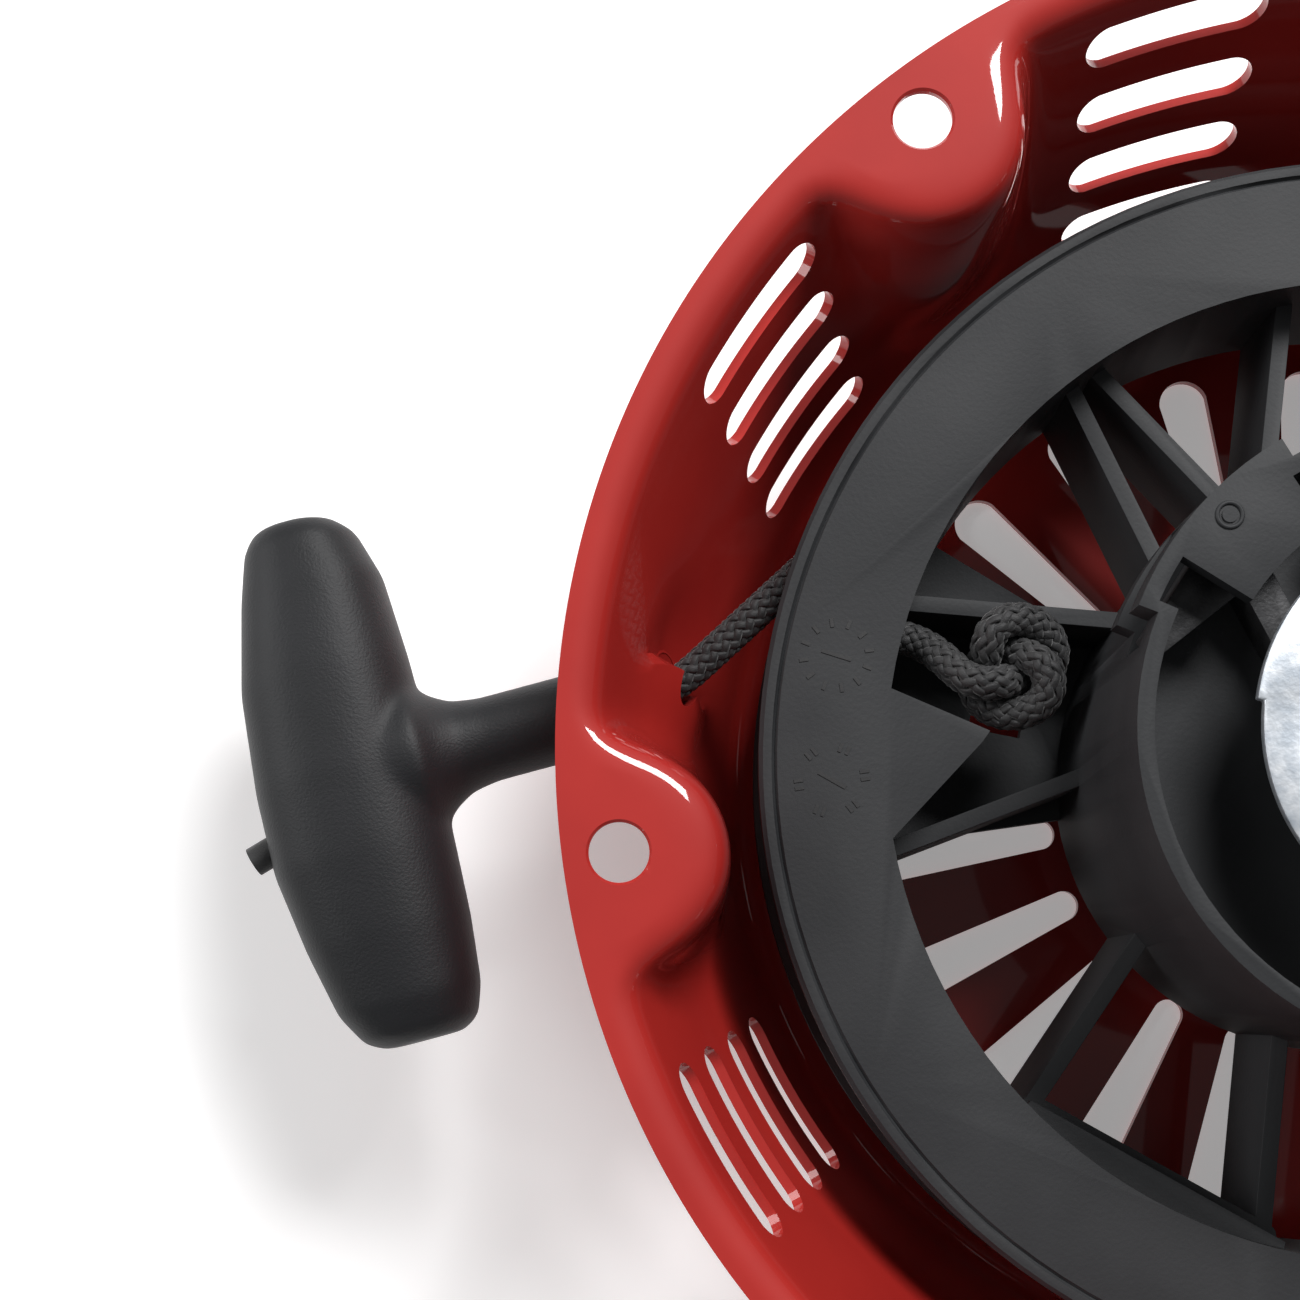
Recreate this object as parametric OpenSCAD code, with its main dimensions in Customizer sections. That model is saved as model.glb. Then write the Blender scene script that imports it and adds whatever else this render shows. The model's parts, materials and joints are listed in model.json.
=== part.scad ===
// Recoil starter for a single-cylinder engine: a pressed steel bell that bolts to the fan cover,
// with a spring-loaded rope reel, two ratchets and a T-grip on a braided rope.
// +Z is the crank axis and points to the engine. The origin is the centre of the mounting face.
// The grip lies to -X. Units are millimetres.

/* [Housing] */
// Outside diameter of the mounting flange
flange_d = 230; // [190:1:280]
// Depth from the mounting face to the inside of the front
bell_depth = 62; // [56:0.5:76]
// Thickness of the pressed sheet
sheet_t = 1.5; // [1.2:0.1:2]
// Width from the rim to where the wall's slope would meet the mounting face
rim_w = 4.9; // [4:0.1:8]
// Lean of the side wall from the crank axis, in degrees
wall_lean = 18.4; // [14:0.1:20]
// Radius where the flange rolls into the wall
roll_r = 4.5; // [3:0.5:6]
// Radius where the wall turns into the front
shoulder_r = 9; // [6:0.5:12]
// Radius of the recess in the middle of the front
recess_r = 30; // [24:1:34]
// Height of that recess
recess_h = 3.2; // [2.8:0.1:4]

/* [Bolt pads] */
// Number of mounting holes
bolt_count = 6; // [3:1:6]
// Diameter of a mounting hole
bolt_hole_d = 8; // [6:0.1:9]
// Distance from the rim to a hole's centre
bolt_edge = 7.5; // [6.5:0.1:9]
// Radius of the column that backs a hole
pad_r = 14.5; // [12:0.5:16]
// Angle of the first hole, in degrees
bolt_angle = 7.6; // [0:0.1:20]

/* [Vents] */
// Length of a wall vent
vent_len = 26.5; // [18:0.5:28]
// Width of a wall vent
vent_w = 7.2; // [5:0.1:8]
// Distance between wall vents down the wall
vent_pitch = 12; // [10:0.1:12]
// Depth of the first wall vent's middle
vent_drop = 9.6; // [9:0.1:12]
// Number of vents across the front
front_vents = 21; // [15:1:21]
// Width of a front vent at its inner end
front_vent_in_w = 4.8; // [3:0.1:5]
// Width of a front vent at its outer end
front_vent_out_w = 8; // [5:0.1:9]

/* [Reel] */
// Gap between the reel's lower edge and the wall
reel_gap = 7.5; // [5:0.5:12]
// Depth of the reel's upper face
reel_drop = 19; // [18:0.5:21]
// Depth of the rope groove from the reel's edge to the drum
groove_depth = 14; // [10:0.5:16]
// Thickness of the drum under the rope
drum_wall = 4; // [3:0.5:5]
// Thickness of the reel's upper flange
top_flange_t = 3; // [2.5:0.1:4]
// Thickness of the reel's lower flange
low_flange_t = 2.6; // [2:0.1:3]
// Thickness of a spoke
spoke_t = 2.4; // [2:0.1:3.5]
// Depth of the spokes' top edges below the reel's upper face
spoke_drop = 8; // [6:0.5:10]
// Outside radius of the hub
hub_r = 40.9; // [34.08:0.01:44]
// Wall of the hub
hub_wall = 2.2; // [1.8:0.1:3]
// Height of the hub above the mounting face
hub_top = 9.7; // [8:0.1:12]

/* [Rope] */
// Diameter of the rope
rope_d = 5; // [4:0.1:6]
// Turns of rope on the drum
rope_turns = 4; // [3:1:4]
// Angle of the outlet in the wall, in degrees
outlet_angle = 173.1; // [168:0.1:174]
// Depth of the outlet
outlet_drop = 28.7; // [26:0.1:32]
// Direction in which the grip is pulled, in degrees
pull_angle = 195; // [190:1:200]

/* [Grip] */
// Length of the grip's bar
grip_len = 78; // [66:1:94]
// Thickness of the bar at its middle, along the rope
grip_crown = 26.5; // [24:0.5:30]
// Distance from the outlet to the bar
grip_reach = 36.8; // [32:0.1:44]
// Diameter of the neck
neck_d = 12.6; // [12:0.1:15]

/* [Ratchets] */
// Distance from the hub's outside to a ratchet's pivot
pawl_inset = 5.3; // [4.5:0.1:7]
// Angle of the first ratchet's pivot, in degrees
pawl_angle = 136; // [130:1:140]
// Angle through which a ratchet swings, in degrees
pawl_swing = 20; // [15:1:22]
// Angle through which the guide turns to swing them, in degrees
guide_turn = 30; // [25:1:35]
// Radius of the ratchet guide
guide_r = 26.8; // [25:0.1:27.5]

/* [Spindle and spring] */
// Diameter of the spindle where the reel runs
spindle_d = 16; // [14:0.1:19.2]
// Diameter of the spindle inside the spring
arbor_d = 22; // [20:0.5:24]
// Diameter of the spindle's top, on which the guide turns
guide_pin_d = 12; // [10:0.5:13]
// Thickness of the recoil spring's strip
strip_t = 0.8; // [0.6:0.1:1]
// Width of the recoil spring's strip
strip_w = 12; // [10:0.5:12]
// Turns of the recoil spring
spring_turns = 9; // [6:1:11]

/* [Clearances] */
// Radial clearance of a running fit
run_clear = 0.05; // [0.02:0.01:0.09]
// Gap between pieces that pass each other
gap = 0.3; // [0.2:0.05:0.4]
// Gap between a seated face and its seat
seat_gap = 0.1; // [0.05:0.05:0.15]

/* [Hidden] */
fine = 96;
small = 48;
eps = 0.01;

// Bell
flange_r = flange_d / 2;
wall_top_r = flange_r - rim_w;
bolt_circle_r = flange_r - bolt_edge;
front_z = -bell_depth;
recess_z = front_z + recess_h;
function wall_r(z) = wall_top_r + z * tan(wall_lean);
roll_c = [wall_r(-roll_r * (1 - sin(wall_lean))) + roll_r * cos(wall_lean), -roll_r];
shoulder_c = [wall_r(front_z + shoulder_r * (1 - sin(wall_lean))) - shoulder_r * cos(wall_lean),
              front_z + shoulder_r];
front_flat_r = shoulder_c[0];
front_vent_in_r = hub_r - 2.5;
front_vent_out_r = front_flat_r - 12;
vent_angles = [105.7, 145.4, 210.2, 285.7, 325.4, 30.2];

// Reel
spoke_z = -reel_drop - spoke_drop;
groove_h = rope_turns * (rope_d + 0.1) + 0.4;
groove_top = -reel_drop - top_flange_t;
reel_low = groove_top - groove_h - low_flange_t;
reel_r = wall_r(reel_low) - reel_gap;
drum_r = reel_r - groove_depth;
drum_in_r = drum_r - drum_wall;
hub_in_r = hub_r - hub_wall;
cup_floor_z = -3;
cup_floor_t = 4;
spring_roof_z = reel_low + strip_w + 3.4;
spring_roof_t = 3;
boss_r = spindle_d / 2 + 4.5;
pocket_out_r = hub_r + 2.6;
pocket_in_r = pocket_out_r - hub_wall;
// Outer and inner end of each spoke, as angles; the other half of the reel repeats them
spokes = [[97.5, 109.4], [122.2, 114.2], [125.7, 134.3], [159.5, 147], [189.9, 181.2], [225.2, 216.9],
          [256.5, 251.2]];

// Rope
rope_r = rope_d / 2;
coil_r = drum_r + rope_r + 0.1;
function polar(r, a) = [r * cos(a), r * sin(a)];
function lerp(a, b, t) = a + (b - a) * t;
outlet = polar(wall_r(-outlet_drop), outlet_angle);
outlet_dist = norm(outlet);
leave_angle = outlet_angle - acos(coil_r / outlet_dist);
coil_top_z = groove_top - 0.2 - rope_d / 2 - 0.05;
// Where the rope enters the drum, and where its knot lies inside
knot_angle = 164;
knot_r = drum_in_r - 14.5;
pull = [cos(pull_angle), sin(pull_angle), 0];
collar_len = 5.5;
collar_r = rope_r + 3.2;
neck_start = collar_len + seat_gap;

// Grip, along the rope from the outlet
crown_s = grip_reach + grip_crown;
washer_s = grip_reach + 11;
washer_t = 1.2;
pocket_t = 2.6;
pocket_r = 9.6;

// Ratchets
pawl_low = cup_floor_z + gap;
pawl_high = pawl_low + 6.6;
pawl_pin_d = 6;
drive_pin_r = 2;
pad_t = 2.5;
pad_z = hub_top - pad_t;
pivot = polar(hub_r - pawl_inset, pawl_angle);
bridge_in_r = hub_in_r - 7.7;
spring_post = polar(hub_in_r - 8.7, pawl_angle - 24);
drive_rest = polar(19, pawl_angle + 19);
tip_rest = polar(hub_in_r + 1.7, pawl_angle + 24);
function turned(v, a) = [v[0] * cos(a) - v[1] * sin(a), v[0] * sin(a) + v[1] * cos(a)];
function drive_at(swing) = pivot + turned(drive_rest - pivot, -swing);

// Spindle stack
spindle_shoulder_z = spring_roof_z - 1.2;
guide_z = hub_top + 1.3;
guide_t = 1.5;
spindle_top_z = guide_z + guide_t + seat_gap;
screw_r = 3;

module ring(r_out, r_in, z0, h) {
    translate([0, 0, z0])
        difference() {
            cylinder(h = h, r = r_out, $fn = fine);
            translate([0, 0, -1]) cylinder(h = h + 2, r = r_in, $fn = fine);
        }
}

// A wedge of the plane between two angles less than 170 degrees apart
module wedge(a0, a1, r) {
    mid = (a0 + a1) / 2;
    polygon([[0, 0], polar(r, a0), polar(r * 1.2, mid), polar(r, a1)]);
}

module sector(r, a0, a1) {
    intersection() {
        circle(r = r, $fn = fine);
        wedge(a0, a1, r * 1.6);
    }
}

// A flat bar with round ends from a to b
module link(a, b, w) {
    d = b - a;
    translate(a) rotate(atan2(d[1], d[0])) translate([0, -w / 2]) square([norm(d), w]);
    translate(a) circle(d = w, $fn = small);
    translate(b) circle(d = w, $fn = small);
}

function arc(c, r, a0, a1, n) = [for (i = [0 : n]) c + polar(r, lerp(a0, a1, i / n))];

// ---------------------------------------------------------------- housing

// Half profile of the bell's inside, or of its outside when out is the sheet's thickness
function bell_profile(out) = concat(
    [[0, recess_z - out], [recess_r - 3, recess_z - out], [recess_r + 1, front_z - out]],
    arc(shoulder_c, shoulder_r + out, -90, -wall_lean, 8),
    arc(roll_c, roll_r - out, 180 - wall_lean, 90, 6));

module bell_inside() {
    difference() {
        rotate_extrude($fn = fine)
            polygon(concat(bell_profile(0), [[flange_r + 2, 0], [flange_r + 2, 1], [0, 1]]));
        pads(pad_r);
    }
}

module bell_outside() {
    difference() {
        rotate_extrude($fn = fine)
            polygon(concat(bell_profile(sheet_t), [[flange_r, -sheet_t], [flange_r, 0], [0, 0]]));
        translate([0, 0, -sheet_t]) pads(pad_r - sheet_t);
    }
}

module pads(r) {
    for (i = [0 : bolt_count - 1])
        rotate(bolt_angle + i * 360 / bolt_count)
            translate([bolt_circle_r, 0, -bell_depth - 5])
                cylinder(h = bell_depth + 5, r = r, $fn = fine);
}

module stadium(len, w) {
    square([len - w, w], center = true);
    for (s = [-1, 1]) translate([s * (len - w) / 2, 0]) circle(d = w, $fn = small);
}

module wall_vents() {
    for (a = vent_angles, k = [0 : 3]) {
        z = -vent_drop - k * vent_pitch;
        rotate(a)
            translate([wall_r(z) - 7, 0, z])
                rotate([0, 90 + wall_lean, 0]) rotate(90)
                    linear_extrude(16) stadium(vent_len, vent_w);
    }
}

module front_vent_shape() {
    inner = front_vent_in_w / 2;
    outer = front_vent_out_w / 2;
    translate([front_vent_in_r + inner, 0]) circle(r = inner, $fn = small);
    translate([front_vent_out_r - outer, 0]) circle(r = outer, $fn = small);
    polygon([[front_vent_in_r + inner, -inner], [front_vent_out_r - outer, -outer],
             [front_vent_out_r - outer, outer], [front_vent_in_r + inner, inner]]);
}

module at_outlet() {
    translate([outlet[0], outlet[1], -outlet_drop]) rotate(pull_angle) rotate([0, 90, 0]) children();
}

module housing() {
    color("firebrick")
    difference() {
        union() {
            difference() {
                bell_outside();
                bell_inside();
            }
            intersection() {
                at_outlet() translate([0, 0, -8]) cylinder(h = collar_len + 8, r = collar_r + sheet_t, $fn = small);
                difference() {
                    ring(flange_r, 1, front_z, bell_depth);
                    rotate_extrude($fn = fine)
                        polygon([[0, 1], [wall_r(1), 1], [wall_r(front_z), front_z], [0, front_z]]);
                }
            }
        }
        at_outlet() translate([0, 0, -12]) cylinder(h = 40, r = collar_r, $fn = small);
        wall_vents();
        translate([0, 0, front_z - 4])
            for (i = [0 : front_vents - 1])
                rotate(0.3 + i * 360 / front_vents) linear_extrude(8) front_vent_shape();
        for (i = [0 : bolt_count - 1])
            rotate(bolt_angle + i * 360 / bolt_count)
                translate([bolt_circle_r, 0, -sheet_t - 2]) cylinder(h = sheet_t + 4, d = bolt_hole_d, $fn = small);
        translate([0, 0, recess_z - sheet_t - 1]) cylinder(h = sheet_t + 2, r = 6, $fn = small);
    }
}

// ---------------------------------------------------------------- spindle and spring

module spindle() {
    slot_top = spindle_shoulder_z - 0.6;
    color("silver")
    difference() {
        union() {
            translate([0, 0, recess_z - sheet_t - 1.6]) cylinder(h = 1.6, r = 9, $fn = fine);
            translate([0, 0, recess_z - sheet_t]) cylinder(h = sheet_t + eps, r = 6, $fn = small);
            translate([0, 0, recess_z]) cylinder(h = 3, r = 17, $fn = fine);
            translate([0, 0, recess_z]) cylinder(h = spindle_shoulder_z - recess_z, d = arbor_d, $fn = fine);
            translate([0, 0, spindle_shoulder_z])
                cylinder(h = cup_floor_z - spindle_shoulder_z, d = spindle_d, $fn = fine);
            cylinder(h = spindle_top_z, d = guide_pin_d, $fn = fine);
            translate([0, 0, cup_floor_z - eps]) cylinder(h = -cup_floor_z + 2 * eps, d = guide_pin_d, $fn = fine);
        }
        // Slot for the spring's inner hook
        translate([0, -gap, reel_low - 2]) cube([arbor_d, strip_t + 2 * gap, slot_top - reel_low + 2]);
        translate([0, 0, spindle_top_z - 18]) cylinder(h = 20, r = screw_r + run_clear, $fn = small);
    }
}

module thrust_washer() {
    color("ivory")
        ring(arbor_d / 2 - 0.5, spindle_d / 2 + run_clear, spindle_shoulder_z, 1.2 - seat_gap);
}

function spiral(r0, r1, turns, n) =
    [for (i = [0 : n]) polar(lerp(r0, r1, i / n), 360 * turns * i / n)];

// The strip winds from a hook in the spindle out to a turned-up end at the hub wall
module recoil_spring() {
    r0 = arbor_d / 2 + 0.6;
    r1 = hub_in_r - 2.6;
    n = spring_turns * 28;
    hook_x = arbor_d / 2 - 4;
    inner = spiral(r0, r1, spring_turns, n);
    outer = spiral(r0 + strip_t, r1 + strip_t, spring_turns, n);
    color("dimgray")
    translate([0, 0, reel_low + 1.4])
        linear_extrude(strip_w)
            polygon(concat(
                [[hook_x, 0]], outer, [[r1 + strip_t, 1.8], [r1, 1.8]],
                [for (i = [n : -1 : 1]) inner[i]],
                [[r0 - 0.04, strip_t], [hook_x, strip_t]]));
}

module spring_cover() {
    color("gainsboro")
        ring(hub_in_r - seat_gap, arbor_d / 2 + 4, reel_low, 1);
}

// ---------------------------------------------------------------- reel

// Tube, webs and bore of the hub. Holes in the lower web open the space between the webs.
module hub_core() {
    bore = spindle_d / 2 + run_clear;
    floor_low = cup_floor_z - cup_floor_t;
    roof_high = spring_roof_z + spring_roof_t;
    difference() {
        rotate_extrude($fn = fine)
            difference() {
                polygon([[bore, spring_roof_z], [hub_in_r, spring_roof_z], [hub_in_r, reel_low],
                         [hub_r, reel_low], [hub_r, hub_top], [hub_in_r, hub_top],
                         [hub_in_r, cup_floor_z], [bore, cup_floor_z]]);
                polygon([[boss_r, roof_high], [hub_in_r, roof_high],
                         [hub_in_r, floor_low], [boss_r, floor_low]]);
            }
        for (i = [0 : 5])
            rotate(30 + i * 60)
                translate([(boss_r + hub_in_r) / 2, 0, spring_roof_z - 1])
                    cylinder(h = spring_roof_t + 2, r = 7, $fn = small);
    }
}

// The wall bulges where a ratchet lies, and has a window that the ratchet swings out of
module cup_pockets() {
    for (h = [0, 180])
        translate([0, 0, cup_floor_z - cup_floor_t])
            linear_extrude(hub_top - cup_floor_z + cup_floor_t)
                difference() {
                    sector(pocket_out_r, pawl_angle + h - 16, pawl_angle + h + 22);
                    circle(r = hub_in_r + 0.6, $fn = fine);
                }
}

module cup_cuts() {
    for (h = [0, 180]) {
        translate([0, 0, cup_floor_z])
            linear_extrude(hub_top - cup_floor_z + 1)
                difference() {
                    sector(pocket_in_r, pawl_angle + h - 13, pawl_angle + h + 20);
                    circle(r = hub_in_r - 2, $fn = fine);
                }
        translate([0, 0, cup_floor_z])
            linear_extrude(pawl_high + gap - cup_floor_z)
                difference() {
                    sector(pocket_out_r + 3, pawl_angle + h + 3, pawl_angle + h + 27);
                    circle(r = hub_in_r - 2, $fn = fine);
                }
    }
}

// Bridge over each pivot, the pivot pin moulded to it, and a post for the ratchet spring's leg
module pivots() {
    for (h = [0, 180]) rotate(h) {
        translate([0, 0, pad_z])
            linear_extrude(pad_t)
                difference() {
                    sector(pocket_in_r + 0.5, pawl_angle - 14, pawl_angle + 11);
                    circle(r = bridge_in_r, $fn = fine);
                }
        translate([pivot[0], pivot[1], cup_floor_z - 1])
            cylinder(h = pad_z - cup_floor_z + 2, d = pawl_pin_d, $fn = small);
        translate([spring_post[0], spring_post[1], cup_floor_z - 1])
            cylinder(h = 10, r = 2, $fn = small);
    }
}

module hub() {
    difference() {
        union() {
            hub_core();
            cup_pockets();
        }
        cup_cuts();
    }
    pivots();
}

module drum() {
    rotate_extrude($fn = fine)
        polygon([
            [drum_in_r, -reel_drop], [reel_r - 2.6, -reel_drop], [reel_r - 2.2, -reel_drop - 0.5],
            [reel_r - 1.8, -reel_drop], [reel_r - 0.6, -reel_drop], [reel_r, -reel_drop - 0.6],
            [reel_r, groove_top], [drum_r, groove_top],
            [drum_r, groove_top - groove_h], [reel_r, groove_top - groove_h],
            [reel_r, reel_low], [drum_in_r, reel_low]]);
}

module spoke_set() {
    h = spoke_z - reel_low;
    for (s = spokes, half = [0, 180])
        rotate(half)
            translate([0, 0, reel_low])
                linear_extrude(h)
                    difference() {
                        link(polar(hub_r - 1, s[1]), polar(drum_in_r + 1, s[0]), spoke_t);
                        circle(r = hub_in_r + 0.5, $fn = fine);
                    }
}

// Pocket that holds the rope's knot, with the flat tongue that covers it
module knot_pocket() {
    translate([0, 0, -reel_drop - 2.2])
        linear_extrude(2.2)
            polygon([polar(drum_in_r + 1, 171), polar(knot_r, 175.3), polar(knot_r + 1, 177),
                     polar(drum_in_r + 1, 189.5)]);
    translate([0, 0, reel_low])
        linear_extrude(2.4)
            difference() {
                sector(drum_in_r + 1, 148, 188);
                circle(r = hub_r - 1, $fn = fine);
                translate(polar(knot_r - 4, 168)) rotate(168) square([8, 6], center = true);
            }
}

// Flat ledge and notched bar that stiffen the reel's heavy side
module ledges() {
    bar_a = polar(drum_in_r - 1, 225.2);
    bar_b = polar(drum_in_r - 1, 256.5);
    for (half = [0, 180]) rotate(half) {
        translate([0, 0, -reel_drop - 6])
            linear_extrude(2)
                difference() {
                    sector(drum_in_r + 1, 224, 258);
                    rotate(240.8) translate([-30, -60]) square([drum_in_r - 4 + 30, 120]);
                }
        translate([0, 0, reel_low])
            linear_extrude(spoke_z - reel_low)
                difference() {
                    link(bar_a, bar_b, 3.4);
                    for (t = [0.3, 0.5, 0.7])
                        translate(lerp(bar_a, bar_b, t) + polar(1.6, 240.8)) rotate(240.8)
                            square([1.6, 4], center = true);
                }
    }
}

module reel() {
    color("#2b2c2f")
    difference() {
        union() {
            drum();
            hub();
            spoke_set();
            knot_pocket();
            ledges();
        }
        // Rope hole through the drum into the knot pocket
        rotate(knot_angle) translate([drum_in_r - 6, 0, coil_top_z]) rotate([0, 90, 0])
            cylinder(h = drum_wall + 9, r = rope_r + gap, $fn = small);
    }
}

// ---------------------------------------------------------------- rope

module rope_winding() {
    color("#1c1c1e") {
        // The top turn runs from the hole in the drum round to where the lead lifts off
        translate([0, 0, coil_top_z])
            rotate(knot_angle)
                rotate_extrude(angle = leave_angle + 358 - knot_angle, $fn = fine)
                    translate([coil_r, 0]) circle(r = rope_r, $fn = small);
        for (i = [1 : rope_turns - 1])
            translate([0, 0, coil_top_z - i * (rope_d + 0.1) + eps])
                rotate_extrude($fn = fine) translate([coil_r, 0]) circle(r = rope_r + 0.06, $fn = small);
    }
}

module reel_knot() {
    color("#1c1c1e") {
        rotate(knot_angle)
            translate([drum_r + 0.06, 0, coil_top_z]) rotate([0, -90, 0])
                cylinder(h = drum_r - knot_r - 5, r = rope_r, $fn = small);
        translate([each polar(knot_r, knot_angle - 0.5), coil_top_z]) rotate(knot_angle)
            hull() {
                translate([4.5, 0, 0]) sphere(r = 5.2, $fn = 32);
                translate([-4, 2, 0]) sphere(r = 5.6, $fn = 32);
                translate([-3, -2.5, 1]) sphere(r = 4.8, $fn = 32);
            }
    }
}

// Centre line of the free rope: off the drum, through the outlet and along the pull line
lead_start = [each polar(coil_r, leave_angle), coil_top_z];
lead_bend = [outlet[0], outlet[1], -outlet_drop];
lead_end = lead_bend + pull * (washer_s + washer_t);
// It stays level with its turn until it is clear of the turn below
function lead_point(t) = [
    lerp(lead_start[0], lead_bend[0], t), lerp(lead_start[1], lead_bend[1], t),
    lerp(lead_start[2], lead_bend[2], max(0, (t - 0.35) / 0.65))];
function bend_point(t) =
    lerp(lerp(lead_point(0.86), lead_bend, t), lerp(lead_bend, lead_bend + pull * 9, t), t);
lead_path = concat(
    [for (t = [0.03 : 0.16 : 0.83]) lead_point(t)],
    [for (t = [0 : 0.2 : 1]) bend_point(t)],
    [for (s = [16, 26, 36]) lead_bend + pull * s],
    [lead_end]);

function unit(v) = v / norm(v);
function along(p, i) = unit(p[min(i + 1, len(p) - 1)] - p[max(i - 1, 0)]);
// A ring of the tube about point i, with its sides laid out from the vertical
function tube_ring(p, i, r, n) =
    let (d = along(p, i), u = unit(cross([0, 0, 1], d)), v = cross(d, u))
    [for (k = [0 : n - 1]) p[i] + u * r * cos(360 * k / n) + v * r * sin(360 * k / n)];

module tube(p, r, n) {
    rings = len(p);
    points = [for (i = [0 : rings - 1]) each tube_ring(p, i, r, n)];
    sides = [for (i = [0 : rings - 2], k = [0 : n - 1])
        [i * n + k, i * n + (k + 1) % n, (i + 1) * n + (k + 1) % n, (i + 1) * n + k]];
    caps = [[for (k = [n - 1 : -1 : 0]) k], [for (k = [0 : n - 1]) (rings - 1) * n + k]];
    polyhedron(points = points, faces = concat(sides, caps), convexity = 6);
}

module rope_lead() {
    color("#1c1c1e") tube(lead_path, rope_r, 12);
}

// ---------------------------------------------------------------- grip

// The grip's own axes: X along the pull from the outlet, Y along the bar
module on_grip() {
    translate(lead_bend) rotate(pull_angle) children();
}

module grip_bar() {
    half = grip_len / 2;
    end_r = 9.4;
    mid_r = grip_crown / 2 - 1;
    hull() {
        for (s = [-1, 1]) {
            translate([grip_reach + end_r + 0.4, s * (half - end_r), 0]) sphere(r = end_r, $fn = 32);
            translate([crown_s - mid_r, s * 8, 0]) sphere(r = mid_r, $fn = 32);
            translate([grip_reach + mid_r + 0.4, s * 5, 0]) sphere(r = mid_r, $fn = 32);
        }
    }
}

module grip() {
    color("#26272a")
    on_grip()
    difference() {
        union() {
            grip_bar();
            translate([neck_start, 0, 0]) rotate([0, 90, 0])
                cylinder(h = grip_reach + 4 - neck_start, d = neck_d, $fn = small);
            translate([grip_reach - 7, 0, 0]) rotate([0, 90, 0])
                cylinder(h = 9, d1 = neck_d, d2 = neck_d + 9, $fn = small);
        }
        rotate([0, 90, 0]) cylinder(h = crown_s, r = rope_r + 0.4, $fn = small);
        translate([washer_s, pocket_t, 0]) rotate([0, 90, 0]) cylinder(h = 30, r = pocket_r, $fn = small);
    }
}

module grip_washer() {
    color("silver")
    on_grip()
        translate([washer_s + seat_gap, 0, 0]) rotate([0, 90, 0])
            difference() {
                cylinder(h = washer_t, r = 6.6, $fn = small);
                translate([0, 0, -1]) cylinder(h = 4, r = rope_r + 0.4, $fn = small);
            }
}

// The knot rests on the washer, and the rope's cut end shows at the back of the grip
module grip_knot() {
    knot_s = washer_s + washer_t + 2 * seat_gap;
    color("#1c1c1e")
    on_grip() {
        hull() {
            translate([knot_s + 5, -0.6, 0.8]) sphere(r = 5, $fn = 32);
            translate([knot_s + 5.6, 5, -0.6]) sphere(r = 4.8, $fn = 32);
        }
        translate([knot_s + 5, 5.2, 0]) rotate(16) rotate([0, 90, 0])
            cylinder(h = crown_s - knot_s - 2, r = rope_r - 0.3, $fn = small);
    }
}

// ---------------------------------------------------------------- ratchets and guide

module ratchet_shape() {
    circle_d = 9;
    difference() {
        union() {
            translate(pivot) circle(d = circle_d, $fn = small);
            link(pivot, drive_rest, 4.6);
            polygon([pivot + polar(circle_d / 2, pawl_angle + 8), tip_rest, tip_rest + polar(3.4, pawl_angle + 165),
                     pivot + polar(circle_d / 2, pawl_angle + 190)]);
        }
        translate(pivot) circle(d = pawl_pin_d + 2 * run_clear, $fn = small);
    }
}

module ratchet() {
    color("#3a3b3e") {
        translate([0, 0, pawl_low]) linear_extrude(pawl_high - pawl_low) ratchet_shape();
        translate([drive_rest[0], drive_rest[1], pawl_high - eps])
            cylinder(h = guide_z - gap - pawl_high, r = drive_pin_r, $fn = small);
    }
}

module ratchet_1() { ratchet(); }
module ratchet_2() { rotate(180) ratchet(); }

// Torsion spring round the pivot pin, with one leg to its post
module ratchet_spring() {
    wire = 0.45;
    coil = pawl_pin_d / 2 + gap + wire;
    low = pawl_high + 0.5 + wire;
    color("gainsboro") {
        for (i = [0 : 1])
            translate([pivot[0], pivot[1], low + i * 1.7 * wire])
                rotate_extrude($fn = small) translate([coil, 0]) circle(r = wire, $fn = 16);
        translate([pivot[0], pivot[1], low])
            rotate(pawl_angle - 110) translate([coil - 0.2, 0, 0]) rotate([0, 90, 0])
                cylinder(h = 5, r = wire, $fn = 16);
    }
}

module ratchet_spring_1() { ratchet_spring(); }
module ratchet_spring_2() { rotate(180) ratchet_spring(); }

// Cam that wedges a ratchet's drive pin outwards as the guide lags behind the reel
function cam_point(t) =
    let (p = drive_at(pawl_swing * t))
    polar(norm(p) - drive_pin_r - gap, atan2(p[1], p[0]) + guide_turn * t);

module ratchet_guide() {
    steps = 8;
    cam = [for (i = [0 : steps]) cam_point(i / steps)];
    heel = polar(15, pawl_angle + 19);
    toe = polar(15, pawl_angle + 19 + guide_turn * 1.5);
    color("#c9ccd0")
    difference() {
        union() {
            translate([0, 0, guide_z]) cylinder(h = guide_t, r = guide_r - 0.9, $fn = fine);
            translate([0, 0, guide_z])
                for (h = [0, 180])
                    linear_extrude(guide_t) sector(guide_r, 60 + h, 172 + h);
            for (h = [0, 180])
                rotate(h) translate([0, 0, pawl_high + 1]) linear_extrude(guide_z - pawl_high - 1 + eps)
                    polygon(concat(cam, [toe, heel]));
        }
        translate([0, 0, guide_z - 1]) cylinder(h = guide_t + 2, d = guide_pin_d + 2 * run_clear, $fn = fine);
    }
}

module friction_spring() {
    wire = 0.7;
    coil = spindle_d / 2;
    low = cup_floor_z + seat_gap + wire;
    high = guide_z - 1.2 - wire - 2 * seat_gap;
    turns = 6;
    n = turns * 16;
    color("gainsboro")
        tube([for (i = [0 : n]) [each polar(coil, 360 * turns * i / n), lerp(low, high, i / n)]], wire, 8);
}

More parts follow.
